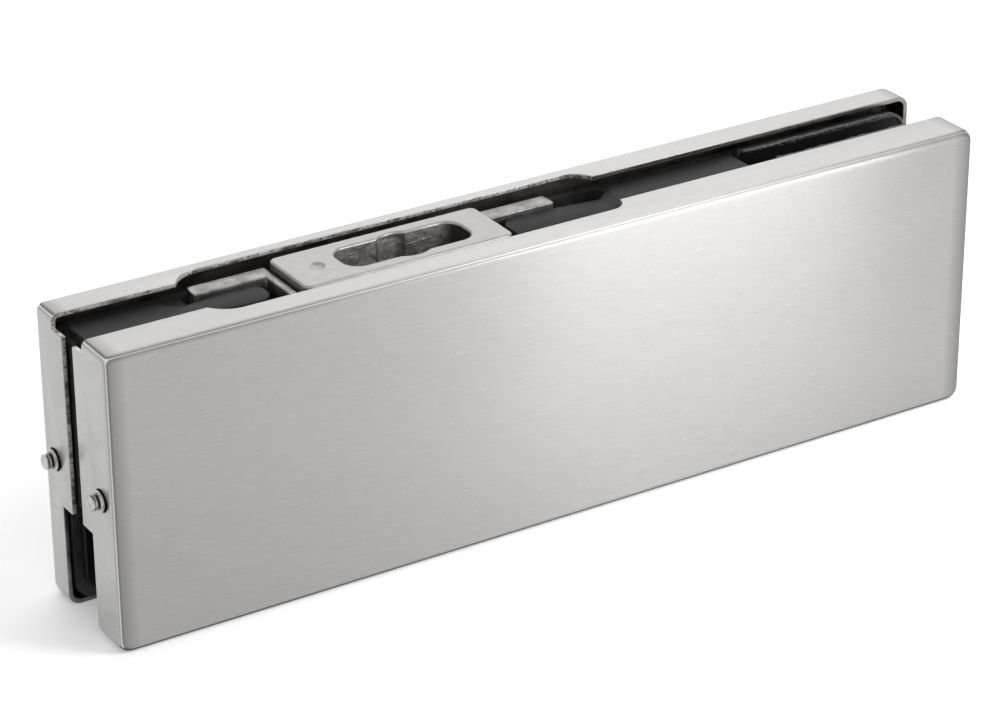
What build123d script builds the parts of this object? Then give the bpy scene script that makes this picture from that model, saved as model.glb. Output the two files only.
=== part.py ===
from build123d import *
import os

# Glass patch fitting with a pivot insert, for one corner of a frameless glass door.
# X runs along the fitting, the pivot end at the low side. Y runs through the glass, front at -Y.
# Z is up. The origin is the pivot axis at the mouth of the spindle socket, level with the top.
# Places along the fitting are given from its left end, heights as a drop below the top.

# Overall size and the glass
length = 164.0
height = 51.0
thickness = 24.0
glass_thickness = 8.0
pivot_from_end = 58.5

# Folded covers
sheet = 0.8
bend_radius = 1.2
corner_radius = 2.2
seam_radius = 1.3
front_flange = 7.8
rear_flange = 5.8
front_tab = 11.1
rear_tab = 9.2
front_lip = 5.0
rear_lip = 2.8
tab_top = 2.4
tab_bottom = 33.0
cutback_start = 21.4
front_cutback_end = 97.0
rear_cutback_end = 98.3
cutback_ease = 5.0
front_turn = 3.1
rear_turn = 4.4
cover_clearance = 0.2

# Clamp plates and gaskets
gasket = 1.6
gasket_inset = 2.4
gasket_top = 1.5
gasket_round = 3.4
gasket_gap = 0.5
block_gap = 4.0
block_end_share = 0.765
block_top = 3.6
block_bottom = 32.5
block_round = 1.5
plate_round = 3.0
plate_edge = 1.2
end_clearance = 0.4
past = 1.0

# Pocket for the carrier, and the carrier in it
pocket_start = 22.6
pocket_end = 101.0
pocket_floor = 30.0
pocket_round = 2.0
carrier_clearance = 0.3
carrier_length = 66.0
carrier_offset = -2.5
carrier_half_width = 8.5
carrier_top = 1.3
carrier_round = 3.6
rail_top = 5.0
rib = 1.4
rib_half_width = 5.9
right_rib_top = 3.9
ledge_half_width = 6.5
channel_half_width = 3.2
channel_floor = 19.0
thread_block_length = 5.7
thread_block_top = 6.5

# Spindle insert
insert_length = 38.0
insert_half_width = 6.4
insert_depth = 24.1
insert_offset = -2.0
insert_round = 1.3
insert_play = 0.5
insert_side_clearance = 0.1
insert_floor_clearance = 0.3
edge_break = 0.3
socket_length = 23.0
socket_width = 7.6
socket_round = 2.8
socket_bulge = 9.2
socket_depth = 20.0
socket_rim = 0.3
dimple_radius = 1.3
dimple_depth = 0.5
dimple_place = 43.0

# Adjusting screws
adjust_radius = 2.5
adjust_length = 9.0
adjust_drop = 10.5
adjust_key = 2.5
screw_clearance = 0.05
touch_gap = 0.05
point_share = 0.2

# Filler strips
strip = 1.7
strip_half_width = 4.9
strip_start = 2.2
strip_round = 0.6
shoulder_round = 1.6
left_neck = 19.6
left_neck_half_width = 1.7
left_shoulder = 2.4
left_tongue_widest = 29.0
left_tongue_end = 33.9
left_tongue_half_width = 3.1
tongue_swell = 9.0
tongue_round = 2.8
right_tongue_start = 78.2
right_tongue_taper = 87.0
right_tongue_half_width = 3.1
right_root_half_width = 2.1
right_tip_sink = 0.2
right_tongue_sink = 0.4
ramp_length = 3.6
strip_rib_depth = 3.4
strip_rib_margin = 3.0

# Clamp screws, nuts and the bush in the glass
screw_radius = 3.0
screw_hole_radius = 3.2
head_radius = 5.7
head_height = 3.3
head_rim = 0.12
head_sink = 0.3
head_clearance = 0.1
screw_key = 4.0
key_share = 0.75
screw_short = 0.4
nut_width = 10.0
nut_thickness = 2.6
nut_sink = 0.2
left_screw_place = (17.0, 17.0)
middle_screw_margin = 7.5
middle_screw_drop = 19.0
right_screw_share = 0.878
right_screw_drop = 28.0
bush_radius = 5.2
bush_clearance = 0.3

# Screws that hold the carrier
carrier_screw_radius = 2.0
carrier_screw_head = 3.6
carrier_screw_head_height = 1.8
carrier_screw_length = 5.2
carrier_screw_drop = 24.5
carrier_screw_margin = 5.2

# Lock pins, their springs and the fixed studs
pin_drop = 25.5
pin_offset = 8.0
pin_radius = 2.0
pin_length = 6.0
pin_bore_depth = 13.0
pin_collar_radius = 1.7
pin_collar = 0.4
pin_ring_radius = 1.4
pin_ring = 0.3
pin_waist_radius = 1.1
pin_waist = 0.35
pin_tip_radius = 1.25
pin_tip = 0.95
pin_centre_radius = 0.35
pin_edge = 0.2
pin_hole_radius = 1.9
spring_radius = 1.5
spring_wire = 0.4
spring_turns = 4
stud_offset = 8.2
stud_radius = 1.3
stud_length = 13.0
stud_hole_radius = 1.5

# Values that follow from the sizes above
left = -pivot_from_end
right = left + length
front_face = -thickness / 2
gasket_face = glass_thickness / 2
plate_inner = gasket_face + gasket
plate_outer = thickness / 2 - sheet - cover_clearance
block_end = length * block_end_share
middle_screw_place = (pocket_end + middle_screw_margin, middle_screw_drop)
right_screw_place = (length * right_screw_share, right_screw_drop)
insert_middle = insert_offset
carrier_left = carrier_offset - carrier_length / 2
carrier_right = carrier_offset + carrier_length / 2
opening_half = insert_length / 2 + insert_play
strip_top = block_top - strip

# Plane whose X runs along the fitting, whose Y is the drop below the top, facing +Y
upright = Plane(origin=(0, 0, 0), x_dir=(1, 0, 0), z_dir=(0, 1, 0))


def at(place):
    """X of a place given from the left end."""
    return left + place


def block(x, y, z):
    """Box between two values along each axis."""
    centre = Pos((x[0] + x[1]) / 2, (y[0] + y[1]) / 2, (z[0] + z[1]) / 2)
    return centre * Box(abs(x[1] - x[0]), abs(y[1] - y[0]), abs(z[1] - z[0]))


def rod_x(x_low, x_high, y, drop, radius):
    """Round bar along X."""
    bar = Cylinder(radius, x_high - x_low, align=(Align.CENTER, Align.CENTER, Align.MIN))
    return Pos(x_low, y, -drop) * Rot(0, 90, 0) * bar


def rod_y(y_low, y_high, x, drop, radius):
    """Round bar along Y."""
    bar = Cylinder(radius, y_high - y_low, align=(Align.CENTER, Align.CENTER, Align.MIN))
    return Pos(x, y_low, -drop) * Rot(-90, 0, 0) * bar


def hexagon_y(y_low, y_high, x, drop, width):
    """Hexagonal bar along Y, its width given across the flats."""
    shape = RegularPolygon(width / 2, 6, major_radius=False)
    return Pos(x, y_low, -drop) * Rot(-90, 0, 0) * extrude(shape, y_high - y_low)


def rounded(points, radii):
    """Flat outline through points, with a radius for each corner."""
    outline = make_face(Polyline(*points, close=True))
    for point, radius in zip(points, radii):
        corner = outline.vertices().sort_by_distance(point)[0]
        outline = fillet(corner, radius)
    return outline


def slab(points, radii, y_low, y_high):
    """Upright slab from points of (x, drop), with a radius for each corner."""
    return upright.offset(y_low) * extrude(rounded(points, radii), y_high - y_low)


def turned_x(steps, y, drop):
    """Turned piece along X from steps of (x, radius)."""
    points = [(steps[0][0], 0)] + steps + [(steps[-1][0], 0)]
    return Pos(0, y, -drop) * revolve(make_face(Polyline(*points, close=True)), Axis.X)


def countersunk_screw(radius, head, head_deep, long, key):
    """Screw that points along +Y, with the flat of its head at y = 0 and a hexagon in it."""
    tip = radius * point_share
    rim = head_deep * head_rim
    steps = [(0, head), (rim, head), (head_deep, radius), (long - tip, radius), (long, radius - tip)]
    body = Rot(0, 0, 90) * turned_x(steps, 0, 0)
    return body - hexagon_y(0, head_deep * key_share, 0, 0, key)


def rounded_tray(inset, depth_low, depth_high):
    """Solid behind a bent face: corners and bends rounded, the seam corner at the top left the least."""
    x = (left + inset, right - inset)
    z = (-height + inset, -inset)
    body = block(x, (depth_low, depth_high), z)
    seam = (x[0], depth_low, z[1])
    corners = body.edges().filter_by(Axis.Y).sort_by_distance(seam)
    body = fillet(corners[1:], corner_radius - inset)
    body = fillet(body.edges().filter_by(Axis.Y).sort_by_distance(seam)[0], seam_radius - inset)
    return fillet(body.faces().sort_by(Axis.Y)[0].edges(), bend_radius - inset)


def cover(flange, tab, lip, cutback_end, turn):
    """Front cover: a folded tray whose flanges are trimmed, with a wide tab at its left end."""
    face = front_face
    edge = face + flange
    reach = face + tab
    lip_edge = face + lip
    low = left - past
    high = right + past
    deep = reach + past
    tray = rounded_tray(0, face, reach) - rounded_tray(sheet, face + sheet, deep)
    start = (at(cutback_start), edge)
    eased = (at(cutback_start) + cutback_ease, lip_edge)
    turned = (at(cutback_end) - turn, lip_edge)
    end = (at(cutback_end), edge)
    outline = TangentArc(eased, start, tangent=(-1, 0)) + Line(eased, turned)
    outline += TangentArc(turned, end, tangent=(1, 0))
    outline += Polyline(end, (high, edge), (high, deep), (low, deep), (low, edge), start)
    tray -= Pos(0, 0, -tab_top) * extrude(make_face(outline), tab_top + past)
    inside = left + sheet + past
    tray -= block((inside, high), (edge, deep), (-height - past, 0))
    tray -= block((low, inside), (edge, deep), (-height - past, -tab_bottom))
    tray -= rod_x(low, inside, -pin_offset, pin_drop, pin_hole_radius)
    tray -= rod_x(right - sheet - past, high, -stud_offset, pin_drop, stud_hole_radius)
    return tray


def clamp_plate(seat):
    """Rear clamp plate without its screw holes: slab, thick block and the pocket for the carrier."""
    low = left + sheet + end_clearance
    high = right - sheet - end_clearance
    bottom = height - sheet - cover_clearance
    outline = [(low, block_top), (high, block_top), (high, bottom), (low, bottom)]
    body = slab(outline, 4 * [plate_round], plate_inner, plate_outer)
    body = chamfer(body.faces().sort_by(Axis.Y)[-1].edges(), plate_edge)
    step = [(low, block_top), (at(block_end), block_top), (at(block_end), block_bottom), (low, block_bottom)]
    body += slab(step, 4 * [block_round], block_gap / 2, plate_inner)
    pocket = block((at(pocket_start), at(pocket_end)), (0, seat), (-pocket_floor, past))
    body -= fillet(pocket.edges().filter_by(Axis.Z), pocket_round)
    mouth = left + sheet
    body -= rod_x(mouth, left + pin_bore_depth, pin_offset, pin_drop, pin_radius + screw_clearance)
    body -= rod_x(right - stud_length, right, stud_offset, pin_drop, stud_radius)
    for place, drop in (left_screw_place, middle_screw_place, right_screw_place):
        body -= rod_y(0, thickness, at(place), drop, screw_hole_radius)
    return body


def front_clamp_plate():
    """Front clamp plate, with countersinks for the clamp screws."""
    body = mirror(clamp_plate(carrier_half_width + carrier_clearance), Plane.XZ)
    wide = head_radius + head_clearance
    for place, drop in (left_screw_place, middle_screw_place, right_screw_place):
        deep = head_sink + head_height
        steps = [(0, wide), (head_sink + head_height * head_rim, wide), (deep, screw_hole_radius)]
        sink = Rot(0, 0, 90) * turned_x(steps, 0, 0)
        body -= Pos(at(place), -plate_outer, -drop) * sink
    return body


def rear_clamp_plate():
    """Rear clamp plate, with hexagonal pockets for the nuts and holes for the carrier's screws."""
    body = clamp_plate(carrier_half_width)
    for place, drop in (left_screw_place, middle_screw_place, right_screw_place):
        low = plate_outer - nut_sink - nut_thickness
        body -= hexagon_y(low, thickness, at(place), drop, nut_width + 2 * screw_clearance)
    wide = carrier_screw_head + head_clearance
    hole = carrier_screw_radius + head_clearance
    deep = carrier_screw_head_height
    for x in carrier_screw_places():
        steps = [(0, wide), (deep * head_rim, wide), (deep, hole), (thickness, hole)]
        sink = Rot(0, 0, -90) * turned_x(steps, 0, 0)
        body -= Pos(x, plate_outer, -carrier_screw_drop) * sink
    return body


def gasket_pad():
    """Rear gasket: the lower strip along the glass and the full height beside the cut-out."""
    low = left + gasket_inset
    high = right - gasket_inset
    bottom = height - gasket_inset
    step = at(block_end) + gasket_gap
    ledge = block_bottom + gasket_gap
    outline = [(low, ledge), (step, ledge), (step, gasket_top)]
    outline += [(high, gasket_top), (high, bottom), (low, bottom)]
    radii = [gasket_round, block_round, block_round, gasket_round, gasket_round, gasket_round]
    body = slab(outline, radii, gasket_face, plate_inner)
    place, drop = right_screw_place
    return body - rod_y(0, thickness, at(place), drop, bush_radius + bush_clearance)


def carrier():
    """Cast carrier: opening for the insert, a rib, a ledge and a threaded block at each end of it."""
    wide = carrier_half_width
    body = block((carrier_left, carrier_right), (-wide, wide), (-pocket_floor, -carrier_top))
    body = fillet(body.edges().filter_by(Axis.Z), carrier_round)
    opening = insert_half_width + insert_side_clearance
    floor = insert_depth + insert_floor_clearance
    x = (insert_middle - opening_half, insert_middle + opening_half)
    beyond = (carrier_left - past, carrier_right + past)
    body -= block(x, (-opening, opening), (-floor, 0))
    body -= block(x, (opening - past, wide + past), (-rail_top, 0))
    body -= block(beyond, (-wide - past, -rib_half_width), (-rail_top, 0))
    body -= block(beyond, (ledge_half_width, wide + past), (-rail_top, 0))
    for side, end in zip((-1, 1), beyond):
        rib_face = insert_middle + side * (opening_half + rib)
        block_face = rib_face + side * thread_block_length
        half = (-channel_half_width, channel_half_width)
        body -= block((rib_face, end), (-thickness, channel_half_width), (-rail_top, 0))
        body -= block((rib_face, end), half, (-thread_block_top, 0))
        body -= block((block_face, end), half, (-channel_floor, 0))
        inner = insert_middle + side * insert_length / 2
        low, high = sorted((inner, block_face))
        body -= rod_x(low, high, 0, adjust_drop, adjust_radius + screw_clearance)
    right_rib = insert_middle + opening_half
    body -= block((right_rib, right_rib + rib), (-wide, channel_half_width), (-right_rib_top, 0))
    for x in carrier_screw_places():
        body -= rod_y(channel_half_width, thickness, x, carrier_screw_drop, carrier_screw_radius)
    return body


def carrier_screw_places():
    """X of the two screws that hold the carrier."""
    return (carrier_left + carrier_screw_margin, carrier_right - carrier_screw_margin)


def socket_profile():
    """Outline of the spindle socket: a rounded slot with a round bulge in its middle."""
    slot = RectangleRounded(socket_length, socket_width, socket_round)
    return slot + Circle(socket_bulge / 2)


def spindle_insert():
    """Sliding insert with the keyed spindle socket and a stamped dimple."""
    x = (insert_middle - insert_length / 2, insert_middle + insert_length / 2)
    body = block(x, (-insert_half_width, insert_half_width), (-insert_depth, 0))
    body = fillet(body.edges().filter_by(Axis.Z), insert_round)
    body = chamfer(body.faces().sort_by(Axis.Z)[-1].edges(), edge_break)
    body -= extrude(socket_profile(), -socket_depth)
    body = chamfer(body.faces().sort_by(Axis.Z)[-1].inner_wires().edges(), socket_rim)
    cup_radius = (dimple_radius ** 2 + dimple_depth ** 2) / (2 * dimple_depth)
    return body - Pos(at(dimple_place), 0, cup_radius - dimple_depth) * Sphere(cup_radius)


def adjusting_screw(side):
    """Set screw that bears on one end of the insert, with a hexagon at its outer end."""
    inner = insert_middle + side * (insert_length / 2 + touch_gap)
    outer = inner + side * adjust_length
    bevel = adjust_radius * point_share
    steps = [
        (inner, adjust_radius - 2 * bevel),
        (inner + side * 2 * bevel, adjust_radius),
        (outer - side * bevel, adjust_radius),
        (outer, adjust_radius - bevel),
    ]
    key = Rot(0, 90, 0) * extrude(RegularPolygon(adjust_key / 2, 6, major_radius=False), adjust_key)
    key_start = outer - adjust_key if side > 0 else outer
    return turned_x(steps, 0, adjust_drop) - Pos(key_start, 0, -adjust_drop) * key


def left_filler_strip():
    """Filler strip with a paddle tongue over the left adjusting screw."""
    wide = strip_half_width
    neck = left_neck_half_width
    tongue = left_tongue_half_width
    half = [
        (at(strip_start), wide),
        (at(left_neck) - left_shoulder, wide),
        (at(left_neck), neck),
        (at(left_tongue_widest), tongue),
        (at(left_tongue_end), tongue),
    ]
    radii = [strip_round, shoulder_round, shoulder_round, tongue_swell, tongue_round]
    outline = half + [(x, -y) for x, y in reversed(half)]
    shape = rounded(outline, radii + list(reversed(radii)))
    body = Pos(0, 0, -block_top) * extrude(shape, strip)
    rib_x = (at(strip_start) + strip_rib_margin, at(left_neck) - strip_rib_margin)
    return body + strip_rib(rib_x)


def right_filler_strip():
    """Filler strip whose narrow tongue dips away from its tip and rises to the plate over a ramp."""
    ramp_end = at(pocket_end) - carrier_clearance
    ramp_start = ramp_end - ramp_length
    tip = at(right_tongue_start)
    end = at(block_end)
    tip_low = strip_top + right_tip_sink
    low = strip_top + right_tongue_sink
    top = [(tip, tip_low), (ramp_start, low), (ramp_end, strip_top), (end, strip_top)]
    side = top + [(x, drop + strip) for x, drop in reversed(top)]
    profile = extrude(make_face(Polyline(*side, close=True)), 2 * strip_half_width)
    profile = upright.offset(-strip_half_width) * profile
    tongue = right_tongue_half_width
    rear = [
        (tip, tongue),
        (at(right_tongue_taper), tongue),
        (ramp_start, right_root_half_width),
        (ramp_end, strip_half_width),
        (end, strip_half_width),
    ]
    front = [(end, -strip_half_width), (ramp_end, -strip_half_width), (ramp_start, -tongue), (tip, -tongue)]
    radii = [tongue_round, tongue_swell] + 7 * [strip_round]
    shape = rounded(rear + front, radii)
    body = profile & (Pos(0, 0, -low - strip) * extrude(shape, low + strip))
    rib_x = (ramp_end + strip_rib_margin, end - strip_rib_margin)
    return body + strip_rib(rib_x)


def strip_rib(x):
    """Rib under a strip that clips into the gap between the two blocks."""
    half = block_gap / 2 - screw_clearance
    return block(x, (-half, half), (-block_top - strip_rib_depth, -block_top))


def clamp_screw(place, drop):
    """Countersunk screw from the front plate to its nut in the rear plate."""
    long = 2 * plate_outer - head_sink - nut_sink - screw_short
    screw = countersunk_screw(screw_radius, head_radius, head_height, long, screw_key)
    return Pos(at(place), -plate_outer + head_sink, -drop) * screw


def clamp_nut(place, drop):
    """Hexagonal nut pressed into the rear plate."""
    low = plate_outer - nut_sink - nut_thickness
    body = hexagon_y(low, low + nut_thickness, at(place), drop, nut_width)
    return body - rod_y(low - past, thickness, at(place), drop, screw_radius + screw_clearance)


def glass_bush():
    """Plastic bush between the glass and the right clamp screw."""
    place, drop = right_screw_place
    body = rod_y(-plate_inner, plate_inner, at(place), drop, bush_radius)
    return body - rod_y(-thickness, thickness, at(place), drop, screw_hole_radius)


def carrier_screw(x):
    """Countersunk screw from the rear plate into the carrier."""
    screw = countersunk_screw(carrier_screw_radius, carrier_screw_head, carrier_screw_head_height,
                              carrier_screw_length, adjust_key)
    return Pos(x, plate_outer, -carrier_screw_drop) * Rot(0, 0, 180) * screw


def lock_pin(side):
    """Stepped spring pin: its shoulder rests behind the cover's tab, its tip stands out."""
    shoulder = left + sheet + screw_clearance
    collar = left - pin_collar
    ring = collar - pin_ring
    waist = ring - pin_waist
    tip = waist - pin_tip
    steps = [
        (tip + pin_centre_radius, 0),
        (tip, pin_centre_radius),
        (tip, pin_tip_radius - pin_edge),
        (tip + pin_edge, pin_tip_radius),
        (waist, pin_tip_radius),
        (waist, pin_waist_radius),
        (ring, pin_waist_radius),
        (ring, pin_ring_radius),
        (collar, pin_ring_radius),
        (collar, pin_collar_radius),
        (shoulder, pin_collar_radius),
        (shoulder, pin_radius),
        (shoulder + pin_length, pin_radius),
        (shoulder + pin_length, 0),
    ]
    body = revolve(make_face(Polyline(*steps, close=True)), Axis.X)
    return Pos(0, side * pin_offset, -pin_drop) * body


def pin_spring(side):
    """Compression spring between a lock pin and the end of its bore."""
    start = left + sheet + screw_clearance + pin_length + spring_wire / 2 + touch_gap
    end = left + pin_bore_depth - spring_wire / 2 - touch_gap
    pitch = (end - start) / spring_turns
    path = Helix(pitch, end - start, spring_radius)
    section = Plane(origin=path @ 0, z_dir=path % 0) * RegularPolygon(spring_wire / 2, 6)
    coil = sweep(section, path, is_frenet=True)
    return Pos(start, side * pin_offset, -pin_drop) * Rot(0, 90, 0) * coil


def end_stud(side):
    """Fixed stud at the right end that enters the cover's flange."""
    bevel = stud_radius * point_share
    low = right - stud_length
    high = right - touch_gap
    steps = [(low, stud_radius - bevel), (low + bevel, stud_radius)]
    steps += [(high - bevel, stud_radius), (high, stud_radius - bevel)]
    return turned_x(steps, side * stud_offset, pin_drop)


screw_places = {"left": left_screw_place, "middle": middle_screw_place, "right": right_screw_place}
sides = {"front": -1, "rear": 1}
ends = {"left": -1, "right": 1}

nodes = {
    "front_cover": cover(front_flange, front_tab, front_lip, front_cutback_end, front_turn),
    "rear_cover": mirror(
        cover(rear_flange, rear_tab, rear_lip, rear_cutback_end, rear_turn), Plane.XZ
    ),
    "front_clamp_plate": front_clamp_plate(),
    "rear_clamp_plate": rear_clamp_plate(),
    "front_gasket": mirror(gasket_pad(), Plane.XZ),
    "rear_gasket": gasket_pad(),
    "insert_carrier": carrier(),
    "spindle_insert": spindle_insert(),
    "left_filler_strip": left_filler_strip(),
    "right_filler_strip": right_filler_strip(),
    "glass_bush": glass_bush(),
}
for name, side in ends.items():
    nodes[name + "_adjusting_screw"] = adjusting_screw(side)
for name, x in zip(ends, carrier_screw_places()):
    nodes["carrier_screw_" + name] = carrier_screw(x)
for name, (place, drop) in screw_places.items():
    nodes["clamp_screw_" + name] = clamp_screw(place, drop)
    nodes["clamp_nut_" + name] = clamp_nut(place, drop)
for name, side in sides.items():
    nodes[name + "_lock_pin"] = lock_pin(side)
    nodes[name + "_pin_spring"] = pin_spring(side)
    nodes[name + "_end_stud"] = end_stud(side)

os.makedirs("parts", exist_ok=True)
for name, shape in nodes.items():
    export_step(shape, "parts/" + name + ".step")
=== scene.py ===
import bmesh
import bpy
from math import cos, radians, sin
from mathutils import Matrix, Vector


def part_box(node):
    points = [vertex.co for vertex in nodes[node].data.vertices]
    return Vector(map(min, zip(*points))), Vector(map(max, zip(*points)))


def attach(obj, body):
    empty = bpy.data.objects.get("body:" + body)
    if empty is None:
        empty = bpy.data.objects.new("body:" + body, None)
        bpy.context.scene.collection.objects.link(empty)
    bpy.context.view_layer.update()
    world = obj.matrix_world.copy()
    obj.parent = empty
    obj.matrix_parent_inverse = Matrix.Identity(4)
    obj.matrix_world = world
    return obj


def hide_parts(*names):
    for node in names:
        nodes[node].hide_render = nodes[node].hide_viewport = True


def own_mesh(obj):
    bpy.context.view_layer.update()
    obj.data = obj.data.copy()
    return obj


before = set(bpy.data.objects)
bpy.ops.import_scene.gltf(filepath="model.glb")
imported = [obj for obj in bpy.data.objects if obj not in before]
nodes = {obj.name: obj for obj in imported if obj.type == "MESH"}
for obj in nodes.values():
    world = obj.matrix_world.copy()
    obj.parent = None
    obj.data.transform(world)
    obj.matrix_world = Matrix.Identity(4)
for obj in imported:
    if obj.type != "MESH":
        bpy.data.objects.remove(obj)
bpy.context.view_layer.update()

MM = 0.001

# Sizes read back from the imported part, in metres
cover_low, cover_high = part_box("front_cover")
floor_height = cover_low.z


# Material helpers

# Range that most of a noise keeps to
MIDDLE = (0.3, 0.7)

# First input and result of a Mix node for each kind of value
MIX_SOCKETS = {"RGBA": (6, 2), "VECTOR": (4, 1)}


def srgb(value):
    """Linear value of an sRGB level from 0 to 255."""
    value /= 255
    return value / 12.92 if value <= 0.04045 else ((value + 0.055) / 1.055) ** 2.4


def tint(red, green, blue):
    """Linear colour of three sRGB levels."""
    return (srgb(red), srgb(green), srgb(blue), 1)


def grey(value, warm=0.0):
    """Linear colour of a grey sRGB level, a little warm where asked."""
    return tint(value * (1 + warm), value, value * (1 - warm))


class Nodes:
    """A node tree, filled step by step."""

    def __init__(self, tree):
        self.tree = tree

    def add(self, kind, **settings):
        node = self.tree.nodes.new(kind)
        for key, value in settings.items():
            setattr(node, key, value)
        return node

    def feed(self, target, value):
        """Link a socket to another's output, or set its value."""
        if isinstance(value, bpy.types.NodeSocket):
            self.tree.links.new(value, target)
        else:
            target.default_value = value

    def math(self, operation, *values):
        node = self.add("ShaderNodeMath", operation=operation)
        for target, value in zip(node.inputs, values):
            self.feed(target, value)
        return node.outputs[0]

    def plain_ray(self):
        """1 for rays that show the background: camera, glossy and transmission rays."""
        path = self.add("ShaderNodeLightPath").outputs
        shown = self.math("MAXIMUM", path["Is Camera Ray"], path["Is Glossy Ray"])
        return self.math("MAXIMUM", shown, path["Is Transmission Ray"])


class Finish(Nodes):
    """A material with its nodes; place is where its patterns are read, in metres."""

    def __init__(self, name, **values):
        self.material = bpy.data.materials.new(name)
        self.material.use_nodes = True
        super().__init__(self.material.node_tree)
        self.shader = self.tree.nodes["Principled BSDF"]
        for key, value in values.items():
            self.shader.inputs[key.replace("_", " ")].default_value = value
        self.place = self.add("ShaderNodeTexCoord").outputs["Object"]

    def noise(self, x, y, z, detail=3, roughness=0.5, distortion=0):
        """Noise with so many cells a metre along each axis."""
        cells = self.add("ShaderNodeMapping")
        cells.inputs["Scale"].default_value = (x, y, z)
        self.feed(cells.inputs["Vector"], self.place)
        node = self.add("ShaderNodeTexNoise")
        settings = {"Vector": cells.outputs["Vector"], "Scale": 1, "Detail": detail,
                    "Roughness": roughness, "Distortion": distortion}
        for key, value in settings.items():
            self.feed(node.inputs[key], value)
        return node.outputs["Fac"]

    def spread(self, value, span, result=(0, 1)):
        """Map a value from one range to another."""
        node = self.add("ShaderNodeMapRange")
        self.feed(node.inputs["Value"], value)
        for key, number in zip(("From Min", "From Max", "To Min", "To Max"), (*span, *result)):
            node.inputs[key].default_value = number
        return node.outputs["Result"]

    def blend(self, factor, first, second, kind="RGBA"):
        """Colour or vector between two others."""
        start, result = MIX_SOCKETS[kind]
        node = self.add("ShaderNodeMix", data_type=kind)
        self.feed(node.inputs["Factor"], factor)
        self.feed(node.inputs[start], first)
        self.feed(node.inputs[start + 1], second)
        return node.outputs[result]

    def sum(self, first, second, weight=1):
        """A value plus another with a weight."""
        return self.math("MULTIPLY_ADD", second, weight, first)

    def colour(self, output):
        self.feed(self.shader.inputs["Base Color"], output)

    def rough(self, output):
        self.feed(self.shader.inputs["Roughness"], output)

    def bump(self, height, depth, strength):
        """Small relief, its depth in millimetres."""
        node = self.add("ShaderNodeBump")
        node.inputs["Strength"].default_value = strength
        node.inputs["Distance"].default_value = depth * MM
        self.feed(node.inputs["Height"], height)
        self.feed(self.shader.inputs["Normal"], node.outputs["Normal"])

    def mottle(self, noise, low, high, rough, depth, strength):
        """Colour, roughness and relief from one noise."""
        self.colour(self.blend(self.spread(noise, MIDDLE), low, high))
        self.rough(self.spread(noise, MIDDLE, rough))
        self.bump(noise, depth, strength)

    def axis_value(self, vector, axis):
        """One part of a vector."""
        node = self.add("ShaderNodeSeparateXYZ")
        self.feed(node.inputs[0], vector)
        return node.outputs[axis]

    def facing(self, axis):
        """Part of the surface's direction along one of the part's axes."""
        return self.axis_value(self.add("ShaderNodeTexCoord").outputs["Normal"], axis)

    def flatness(self):
        """1 where the surface squarely faces along an axis, less on bends and rounded edges."""
        x, y, z = (self.math("ABSOLUTE", self.facing(axis)) for axis in "XYZ")
        return self.math("MAXIMUM", self.math("MAXIMUM", x, y), z)

    def follow_sheet(self):
        """Brush along X, and along Y on the folded ends, as on a sheet brushed before folding.

        Returns 1 on those ends and 0 elsewhere.
        """
        end_facing = 0.7
        end = self.math("GREATER_THAN", self.math("ABSOLUTE", self.facing("X")), end_facing)
        turned = self.add("ShaderNodeCombineXYZ")
        for source, target in (("Y", "X"), ("X", "Y"), ("Z", "Z")):
            self.feed(turned.inputs[target], self.axis_value(self.place, source))
        self.place = self.blend(end, self.place, turned.outputs[0], "VECTOR")
        turn = self.add("ShaderNodeVectorTransform", vector_type="VECTOR",
                        convert_from="OBJECT", convert_to="WORLD")
        self.feed(turn.inputs[0], self.blend(end, (1, 0, 0), (0, 1, 0), "VECTOR"))
        self.feed(self.shader.inputs["Tangent"], turn.outputs[0])
        return end


# Finishes

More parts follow.
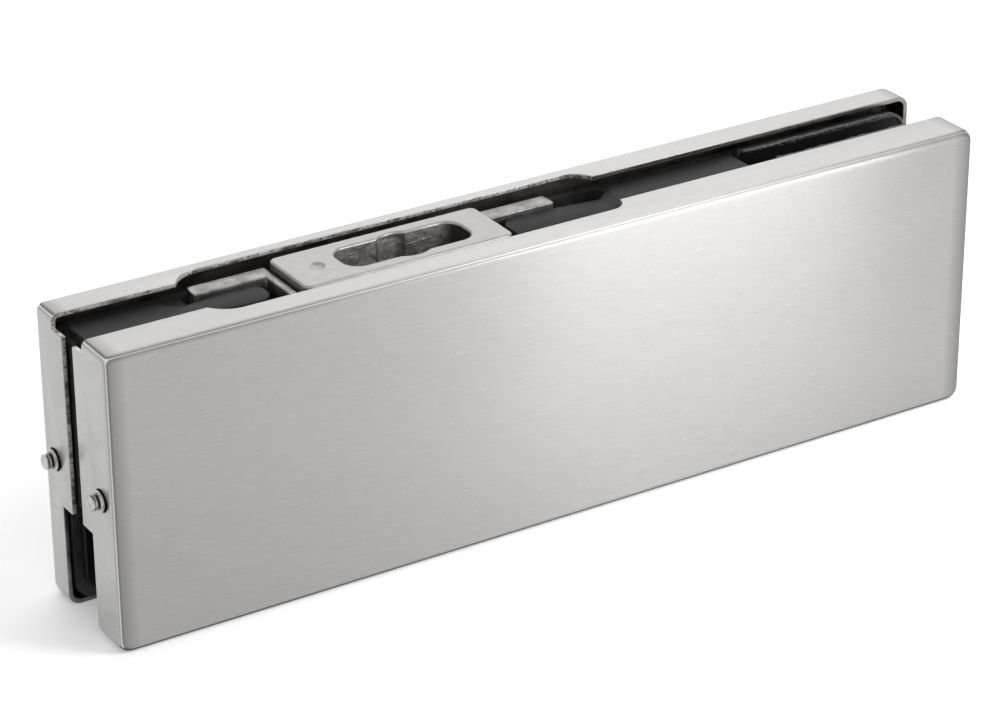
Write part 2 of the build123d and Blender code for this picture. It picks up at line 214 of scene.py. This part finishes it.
def brushed_stainless():
    """Brushed sheet with painted light: painted shade on the face beside its ends and on its lower
    bend, painted highlights along its bends, and its folded tabs painted lighter.
    """
    f = Finish("brushed_stainless", Metallic=1, Roughness=0.28, Anisotropic=1,
               Anisotropic_Rotation=0.25)
    sheet_low, sheet_high = (0.356, 0.351, 0.343, 1), (0.388, 0.383, 0.375, 1)
    # Tab colours lighter than the face's: painted light on the folded tabs.
    painted_light_tab_low, painted_light_tab_high = (0.45, 0.447, 0.44, 1), (0.53, 0.527, 0.52, 1)
    dash_tone = (0.416, 0.411, 0.402, 1)
    # Darker colours for painted shade on the face beside its left and right ends.
    left_painted_shade, right_painted_shade = (0.265, 0.262, 0.255, 1), (0.235, 0.233, 0.228, 1)
    # Painted highlight colours for the bends.
    painted_highlight_left, painted_highlight_right = (0.76, 0.755, 0.745, 1), (0.60, 0.596, 0.588, 1)
    # Painted highlight colour for the left end bend, and a dark painted shade colour for the lower
    # bend.
    painted_highlight_end, painted_shade_under = (0.95, 0.945, 0.935, 1), (0.085, 0.083, 0.08, 1)
    first, last = cover_low.x + 1.2 * MM, cover_high.x - 1.0 * MM
    left_fade, right_fade = 2.2 * MM, 3.0 * MM

    flat = f.flatness()
    along = f.axis_value(f.place, "X")
    end = f.follow_sheet()
    grain = f.noise(170, 6500, 6500, detail=4, roughness=0.6)
    strokes = f.noise(480, 4200, 4200, detail=2)
    cloud = f.noise(22, 60, 60, detail=2)
    dashes = f.noise(420, 3000, 3000, detail=2)
    tone = f.sum(f.sum(grain, strokes, 0.6), cloud, 0.5)

    sheet = f.blend(f.spread(tone, (0.75, 1.35)), sheet_low, sheet_high)
    sheet = f.blend(f.spread(dashes, (0.62, 0.72)), sheet, dash_tone)
    # Painted shade on the face beside its left and right ends.
    sheet = f.blend(f.spread(along, (first, first + left_fade)), left_painted_shade, sheet)
    sheet = f.blend(f.spread(along, (last - right_fade, last)), sheet, right_painted_shade)
    # The folded tabs take the lighter tab colours: painted light.
    sheet = f.blend(end, sheet, f.blend(f.spread(tone, (0.8, 1.3)), painted_light_tab_low, painted_light_tab_high))
    # Painted highlight along the middle of the bends, brightest at the left end and dimmer towards
    # the right.
    painted_highlight = f.blend(f.spread(along, (20 * MM, 60 * MM)), painted_highlight_left, painted_highlight_right)
    bend_start = (cover_low.x + 0.8 * MM, cover_low.x + 2 * MM)
    painted_highlight = f.blend(f.spread(along, bend_start), painted_highlight_end, painted_highlight)
    # Mask that is 0 on the downward-turning part of the bends, where painted shade goes, and 1
    # elsewhere.
    clear_of_painted_shade = f.sum(f.spread(f.facing("Z"), (-0.5, -0.28)), f.spread(flat, (0.93, 0.98)))
    # The painted highlight goes on the middle of each bend.
    sheet = f.blend(f.spread(flat, (0.72, 0.80)), painted_highlight, sheet)
    f.colour(f.blend(clear_of_painted_shade, painted_shade_under, sheet))

    bend_roughness = 0.28
    fine = f.spread(grain, (0.25, 0.75), (0.265, 0.305))
    f.rough(f.sum(fine, f.spread(flat, (0.82, 0.97), (1, 0)), bend_roughness))
    f.bump(f.sum(grain, strokes, 0.8), 0.004, 0.12)
    return f.material


def cut_edge():
    """Cut edge of the sheet, stained and nicked."""
    f = Finish("cut_edge", Metallic=0.55, Roughness=0.3)
    stained, clean, nicked = (0.19, 0.165, 0.14, 1), (0.78, 0.775, 0.76, 1), (0.24, 0.22, 0.20, 1)
    patch = f.noise(240, 500, 500, detail=4, roughness=0.65)
    nick = f.noise(1800, 1800, 1800)
    tone = f.blend(f.spread(patch, (0.38, 0.56)), stained, clean)
    f.colour(f.blend(f.spread(nick, (0.32, 0.46)), nicked, tone))
    f.rough(f.spread(nick, MIDDLE, (0.22, 0.45)))
    f.bump(nick, 0.05, 0.5)
    return f.material


def sheet_inside():
    """Unbrushed inside of the covers, its colour darkened throughout as painted shade, with
    stains.
    """
    f = Finish("sheet_inside", Metallic=1, Roughness=0.4)
    stain = f.noise(120, 260, 260, detail=4, roughness=0.6)
    grit = f.noise(2400, 2400, 2400)
    shaded_stain, clear = (0.09, 0.08, 0.07, 1), (0.30, 0.285, 0.265, 1)
    # Both colours are kept dark as painted shade, with the stain noise between them.
    f.colour(f.blend(f.spread(stain, (0.35, 0.65)), shaded_stain, clear))
    f.rough(f.spread(grit, MIDDLE, (0.3, 0.5)))
    f.bump(grit, 0.03, 0.5)
    return f.material


def coated_casting():
    """Black coated casting of the clamp plates."""
    f = Finish("coated_casting", Metallic=0, Roughness=0.5)
    grit = f.noise(2600, 2600, 2600, detail=5, roughness=0.65)
    lump = f.noise(600, 600, 600)
    f.colour(f.blend(f.spread(f.sum(grit, lump, 0.7), (0.6, 1.2)), grey(16), grey(44)))
    f.rough(f.spread(lump, MIDDLE, (0.38, 0.62)))
    f.bump(f.sum(grit, lump, 1.5), 0.12, 0.7)
    return f.material


def gasket_rubber():
    f = Finish("gasket_rubber", Roughness=0.4, Specular_IOR_Level=0.15)
    grit = f.noise(3000, 3000, 3000, detail=4, roughness=0.6)
    f.mottle(grit, grey(9), grey(19), (0.32, 0.5), 0.05, 0.5)
    return f.material


def shiny_rim():
    """Moulded skin on the gaskets' rims, glossier than their faces."""
    f = Finish("shiny_rim", Roughness=0.25, Specular_IOR_Level=0.6)
    lump = f.noise(900, 1600, 1600, detail=4, roughness=0.6)
    f.mottle(lump, grey(10), grey(24), (0.18, 0.42), 0.25, 0.8)
    return f.material


def bright_casting():
    """Bare cast metal of the carrier."""
    f = Finish("bright_casting", Metallic=1, Roughness=0.35)
    lump = f.noise(420, 420, 420, detail=4, roughness=0.6)
    grit = f.noise(2400, 2400, 2400, detail=4, roughness=0.6)
    f.colour(f.blend(f.spread(lump, MIDDLE), grey(96, 0.015), grey(142, 0.01)))
    f.rough(f.spread(grit, MIDDLE, (0.28, 0.46)))
    f.bump(f.sum(lump, grit, 0.35), 0.12, 0.7)
    return f.material


def satin_insert():
    """Ground top and sides of the insert."""
    f = Finish("satin_insert", Metallic=1, Roughness=0.36)
    scratch = f.noise(300, 1600, 4500, detail=4, roughness=0.6)
    lump = f.noise(500, 500, 500)
    tone = f.spread(f.sum(scratch, lump, 0.5), (0.5, 1))
    f.colour(f.blend(tone, grey(134, 0.01), grey(152, 0.008)))
    f.rough(f.spread(scratch, MIDDLE, (0.30, 0.44)))
    f.bump(f.sum(scratch, lump, 0.8), 0.05, 0.6)
    return f.material


def cast_wall():
    """Wall of the spindle socket, as cast, with painted shade where it faces the low end."""
    f = Finish("cast_wall", Metallic=0.5, Roughness=0.35)
    facing = f.facing("X")
    lump = f.noise(330, 500, 420, detail=5, roughness=0.65, distortion=1.5)
    grit = f.noise(2600, 2600, 1200, detail=4, roughness=0.6)
    scratch = f.noise(260, 2200, 2600, detail=2, distortion=0.6)
    cast = f.blend(f.spread(lump, (0.35, 0.65)), tint(90, 89, 84), tint(166, 164, 157))
    cast = f.blend(f.spread(scratch, (0.66, 0.72)), cast, grey(225, 0.01))
    # Painted shade: the wall turns dark where it faces the low end.
    f.colour(f.blend(f.spread(facing, (-0.75, -0.15)), grey(52, 0.02), cast))
    f.rough(f.spread(grit, MIDDLE, (0.28, 0.5)))
    f.bump(f.sum(lump, grit, 0.4), 0.2, 0.8)
    return f.material


def dark_plastic():
    f = Finish("dark_plastic", Roughness=0.42, Specular_IOR_Level=0.08)
    grit = f.noise(2200, 2200, 2200)
    f.mottle(grit, grey(27), grey(34), (0.38, 0.5), 0.03, 0.5)
    return f.material


def white_plastic():
    f = Finish("white_plastic", Roughness=0.4)
    cloud = f.noise(800, 800, 800)
    f.colour(f.blend(f.spread(cloud, MIDDLE), grey(212), grey(224)))
    f.bump(cloud, 0.03, 0.4)
    return f.material


def banded_pin():
    """Bright turned steel with dark bands painted in: painted shade in its groove and a painted
    reflection of the hole around its foot.
    """
    f = Finish("pin_steel", Metallic=1, Roughness=0.2)
    # Middle and half width of each painted dark band in millimetres along X, and its sRGB level
    painted_dark_bands = ((-59.37, 0.24, 38), (-58.55, 0.3, 22), (-60.0, 0.16, 105))
    full = 0.6  # share of a band's half width that has its full tone
    along = f.axis_value(f.place, "X")
    rings = f.noise(6000, 900, 900)
    steel = f.blend(f.spread(rings, MIDDLE), grey(150, 0.01), grey(205, 0.01))
    for place, width, tone in painted_dark_bands:
        start = f.spread(along, ((place - width) * MM, (place - width * full) * MM))
        stop = f.spread(along, ((place + width * full) * MM, (place + width) * MM), (1, 0))
        # Each band is painted into the steel's colour as painted shade or painted reflection.
        steel = f.blend(f.math("MULTIPLY", start, stop), steel, grey(tone))
    f.colour(steel)
    f.rough(f.spread(rings, MIDDLE, (0.15, 0.28)))
    return f.material


def plated_steel(name, low, high):
    """Plated steel between two sRGB levels."""
    f = Finish(name, Metallic=1, Roughness=0.3)
    rings = f.noise(6000, 900, 900)
    f.mottle(rings, grey(low, 0.01), grey(high, 0.01), (0.25, 0.38), 0.02, 0.5)
    return f.material


stainless = brushed_stainless()
inside = sheet_inside()
shiny = shiny_rim()
edge = cut_edge()
wall = cast_wall()
casting = coated_casting()
rubber = gasket_rubber()
bright = bright_casting()
satin = satin_insert()
plastic = dark_plastic()
bush = white_plastic()
screw = plated_steel("screw_steel", 150, 180)
pin = banded_pin()
wire = plated_steel("spring_steel", 140, 165)

finishes = {
    "front_cover": stainless, "rear_cover": stainless,
    "front_clamp_plate": casting, "rear_clamp_plate": casting,
    "front_gasket": rubber, "rear_gasket": rubber,
    "insert_carrier": bright, "spindle_insert": satin,
    "left_filler_strip": plastic, "right_filler_strip": plastic,
    "glass_bush": bush,
    "left_adjusting_screw": screw, "right_adjusting_screw": screw,
    "carrier_screw_left": screw, "carrier_screw_right": screw,
    "clamp_screw_left": screw, "clamp_screw_middle": screw, "clamp_screw_right": screw,
    "clamp_nut_left": screw, "clamp_nut_middle": screw, "clamp_nut_right": screw,
    "front_lock_pin": pin, "rear_lock_pin": pin,
    "front_end_stud": pin, "rear_end_stud": pin,
    "front_pin_spring": wire, "rear_pin_spring": wire,
}
for name, material in finishes.items():
    mesh = nodes[name].data
    mesh.materials.clear()
    mesh.materials.append(material)


# Pieces: CAD nodes taken again with rounded edges, and their cut edges and socket wall marked

MERGE_BEFORE = 0.002 * MM
MERGE_AFTER = 0.001 * MM
FLAT_ANGLE = radians(0.3)
SHARP_ANGLE = radians(30)
EDGE_STEPS = 2
EDGE_PROFILE = 0.6


def add_piece(name, bm, *materials):
    """Object from a finished bmesh."""
    mesh = bpy.data.meshes.new(name)
    bm.to_mesh(mesh)
    bm.free()
    for material in materials:
        mesh.materials.append(material)
    piece = bpy.data.objects.new(name, mesh)
    bpy.context.scene.collection.objects.link(piece)
    return piece


def rounded_copy(name, width, materials, pick=None):
    """New object with a node's form, its sharp edges rounded by a width in millimetres.

    pick gives the number of each face's finish from its middle, in millimetres, and its direction.
    """
    bm = bmesh.new()
    bm.from_mesh(nodes[name].data)
    bmesh.ops.remove_doubles(bm, verts=bm.verts, dist=MERGE_BEFORE)
    bmesh.ops.dissolve_limit(bm, angle_limit=FLAT_ANGLE, verts=bm.verts, edges=bm.edges)
    for face in bm.faces:
        face.smooth = True
        face.material_index = pick(face.calc_center_median() / MM, face.normal) if pick else 0
    if width:
        sharp = [edge for edge in bm.edges
                 if len(edge.link_faces) == 2 and edge.calc_face_angle(0) > SHARP_ANGLE]
        bmesh.ops.bevel(bm, geom=sharp, offset=width * MM, offset_type="OFFSET",
                        segments=EDGE_STEPS, profile=EDGE_PROFILE, affect="EDGES",
                        clamp_overlap=False)
    bmesh.ops.remove_doubles(bm, verts=bm.verts, dist=MERGE_AFTER)
    bmesh.ops.recalc_face_normals(bm, faces=bm.faces)
    return add_piece(name + "_form", bm, *materials)


# Box of a cover's outside in millimetres; its face lies so far from the middle
low, high = cover_low / MM, cover_high / MM
cover_face = 12


def cover_finish(point, normal):
    """0 on the outside of a cover's sheet, 1 on a cut edge, 2 on the inside."""
    skin, slant = 0.15, 0.35
    sides = ((point.x - low.x, -1, 0), (high.x - point.x, 1, 0),
             (point.z - low.z, -1, 2), (high.z - point.z, 1, 2),
             (cover_face - abs(point.y), 1 if point.y > 0 else -1, 1))
    depth, sign, axis = min(sides)
    if depth < skin:
        return 0
    outward = normal[axis] * sign
    return 2 if outward < -slant else 1 if outward < slant else 0


def insert_finish(point, normal):
    """1 on the wall of the spindle socket."""
    half_length, half_width, rim, slant = 13, 5, -0.2, 0.5
    within = abs(point.x) < half_length and abs(point.y) < half_width and point.z < rim
    return 1 if within and abs(normal.z) < slant else 0


# Node, width of its rounded edges, body, finishes and how its faces pick one
forms = (
    ("front_cover", 0.12, "fitting", (stainless, edge, inside), cover_finish),
    ("rear_cover", 0.12, "fitting", (stainless, edge, inside), cover_finish),
    ("insert_carrier", 0.25, "fitting", (bright,), None),
    ("spindle_insert", 0.12, "insert", (satin, wall), insert_finish),
    ("left_filler_strip", 0.25, "fitting", (plastic,), None),
    ("right_filler_strip", 0.25, "fitting", (plastic,), None),
    ("front_gasket", 0.25, "fitting", (rubber,), None),
    ("rear_gasket", 0.25, "fitting", (rubber,), None),
    ("front_lock_pin", 0.05, "front_pin", (pin,), None),
    ("rear_lock_pin", 0.05, "rear_pin", (pin,), None),
)
for name, width, body, materials, pick in forms:
    piece = rounded_copy(name, width, materials, pick)
    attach(piece, body)
    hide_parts(name)

# The pin springs, which shorten as the pins are pressed in, taken again unrounded, each with a
# mesh of its own
for side in ("front", "rear"):
    spring = rounded_copy(side + "_pin_spring", 0, (wire,))
    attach(spring, "fitting")
    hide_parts(side + "_pin_spring")
    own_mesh(spring)


# Moulded rims of the gaskets, their sizes in millimetres

BEAD_SIDES = 10

# Two waves along a bead that make it uneven, each with its rate and start for a point's number
FAST_WAVE = (1.7, 0)
SLOW_WAVE = (0.61, 1)


def bead(name, points, across, tall, lumps):
    """Rubber rim: a closed tube along points, from its half width and half height.

    lumps is the share by which its height varies.
    """
    bm = bmesh.new()
    rings = []
    for number, place in enumerate(points):
        ahead = points[min(number + 1, len(points) - 1)]
        behind = points[max(number - 1, 0)]
        run = (ahead - behind).normalized()
        lift = Vector((0, 1, 0)).cross(run).normalized()
        waves = [sin(number * rate + start) for rate, start in (FAST_WAVE, SLOW_WAVE)]
        swell = 1 + lumps * sum(waves) / len(waves)
        ring = []
        for step in range(BEAD_SIDES):
            turn = radians(360 / BEAD_SIDES * step)
            off = Vector((0, 1, 0)) * across * cos(turn) + lift * tall * swell * sin(turn)
            ring.append(bm.verts.new((place + off) * MM))
        rings.append(ring)
    for first, second in zip(rings, rings[1:]):
        for step in range(BEAD_SIDES):
            after = (step + 1) % BEAD_SIDES
            bm.faces.new((first[step], first[after], second[after], second[step]))
    bm.faces.new(rings[0])
    bm.faces.new(rings[-1])
    bmesh.ops.recalc_face_normals(bm, faces=bm.faces)
    for face in bm.faces:
        face.smooth = len(face.verts) == 4
    piece = add_piece(name, bm, shiny)
    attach(piece, "fitting")


gasket_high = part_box("rear_gasket")[1] / MM
rim_start, rim_round, rim_end = 68.6, 3.4, gasket_high.x - 0.25
rim_side, rim_top = 4.05, gasket_high.z - 0.2
along_step, turn_step, down_step = 0.9, 15, 1.2
along_points, turn_points, down_points = 35, 7, 8
least_gap = 0.3
corner = Vector((rim_end - rim_round, rim_side, rim_top - rim_round))
rim = [Vector((rim_start + along_step * n, rim_side, rim_top)) for n in range(along_points)]
rim = [place for place in rim if place.x < corner.x - least_gap]
for n in range(turn_points):
    turn = radians(turn_step * n)
    rim.append(corner + rim_round * Vector((sin(turn), 0, cos(turn))))
rim += [Vector((rim_end, rim_side, corner.z - down_step * n)) for n in range(1, down_points + 1)]
bead("rear_gasket_rim", rim, 0.36, 0.42, 0.3)

lip_start, lip_side, lip_middle = rim_start + 1.5, -3.6, -0.82
lip_step, lip_points = 0.8, 35
sway, sway_rate = 0.07, 2.3
lip = [Vector((lip_start + lip_step * n, lip_side + sway * sin(sway_rate * n), lip_middle))
       for n in range(lip_points)]
bead("front_gasket_lip", lip, 0.42, 0.68, 0.14)


# Floor, light and camera

def make_floor():
    """Plain floor; it glows for rays that show the background, so that it looks white."""
    half, glow = 3.0, 0.3
    mesh = bpy.data.meshes.new("floor")
    corners = [(-half, -half, floor_height), (half, -half, floor_height),
               (half, half, floor_height), (-half, half, floor_height)]
    mesh.from_pydata(corners, [], [(0, 1, 2, 3)])
    floor = bpy.data.objects.new("floor", mesh)
    bpy.context.scene.collection.objects.link(floor)
    f = Finish("floor_paint", Roughness=0.6, Base_Color=(0.82, 0.82, 0.82, 1),
               Specular_IOR_Level=0.2, Emission_Color=(1, 1, 1, 1))
    f.feed(f.shader.inputs["Emission Strength"], f.math("MULTIPLY", f.plain_ray(), glow))
    mesh.materials.append(f.material)


def make_world(level):
    """White world of one level as a light, and of 1 as the background."""
    world = bpy.data.worlds.new("studio")
    bpy.context.scene.world = world
    world.use_nodes = True
    sky = Nodes(world.node_tree)
    shader = world.node_tree.nodes["Background"]
    shader.inputs["Color"].default_value = (1, 1, 1, 1)
    strength = sky.add("ShaderNodeMapRange")
    strength.inputs["To Min"].default_value = level
    strength.inputs["To Max"].default_value = 1
    sky.feed(strength.inputs["Value"], sky.plain_ray())
    sky.feed(shader.inputs["Strength"], strength.outputs["Result"])


def soft_lamp(name, place, target, size, power, mirrored):
    """Rectangular lamp; one that isn't mirrored only lights, and shows in no reflection."""
    data = bpy.data.lights.new(name, "AREA")
    data.shape = "RECTANGLE"
    data.size, data.size_y = size
    data.energy = power
    lamp = bpy.data.objects.new(name, data)
    bpy.context.scene.collection.objects.link(lamp)
    lamp.location = place
    lamp.visible_camera = False
    lamp.visible_glossy = mirrored
    lamp.rotation_euler = (Vector(target) - Vector(place)).to_track_quat("-Z", "Y").to_euler()


def make_camera():
    """Camera solved from the photograph: direction, distance and aim of a plain pinhole view."""
    azimuth, elevation, roll = radians(-31.9333), radians(26.1588), radians(0.3326)
    distance = 600.522
    middle = Vector((23.5, 0, -51))
    aim_left, aim_above = 4.801, 22.583
    back = Vector((sin(azimuth) * cos(elevation), -cos(azimuth) * cos(elevation), sin(elevation)))
    side = (-back).cross(Vector((0, 0, 1))).normalized()
    down = (-back).cross(side)
    right = cos(roll) * side + sin(roll) * down
    below = cos(roll) * down - sin(roll) * side
    aim = middle - aim_left * right - aim_above * below
    place = (aim + distance * back) * MM
    data = bpy.data.cameras.new("camera")
    data.sensor_width = 36
    data.lens = 129.076
    data.clip_start = 0.01
    camera = bpy.data.objects.new("camera", data)
    bpy.context.scene.collection.objects.link(camera)
    turn = Matrix((right, -below, back)).transposed()
    camera.matrix_world = Matrix.Translation(place) @ turn.to_4x4()
    bpy.context.scene.camera = camera


# Name, place, target, size, power in watts, and whether it is mirrored
lamps = (
    ("top", (0.80, 1.05, 1.00), (0.03, 0, 0), (2.0, 1.6), 10.5, True),
    ("wash", (0.42, -0.38, 0.55), (0.20, -0.18, -0.05), (0.30, 0.30), 1.6, False),
    ("left_wash", (-0.16, -0.34, 0.42), (-0.05, -0.13, -0.05), (0.20, 0.20), 0.28, False),
    ("band", (0.167, -0.20, 0.11), (0, 0, 0), (0.093, 0.273), 0.43, True),
)
world_level = 0.55

make_floor()
make_world(world_level)
for lamp in lamps:
    soft_lamp(*lamp)
make_camera()
bpy.context.scene.view_settings.view_transform = "Standard"
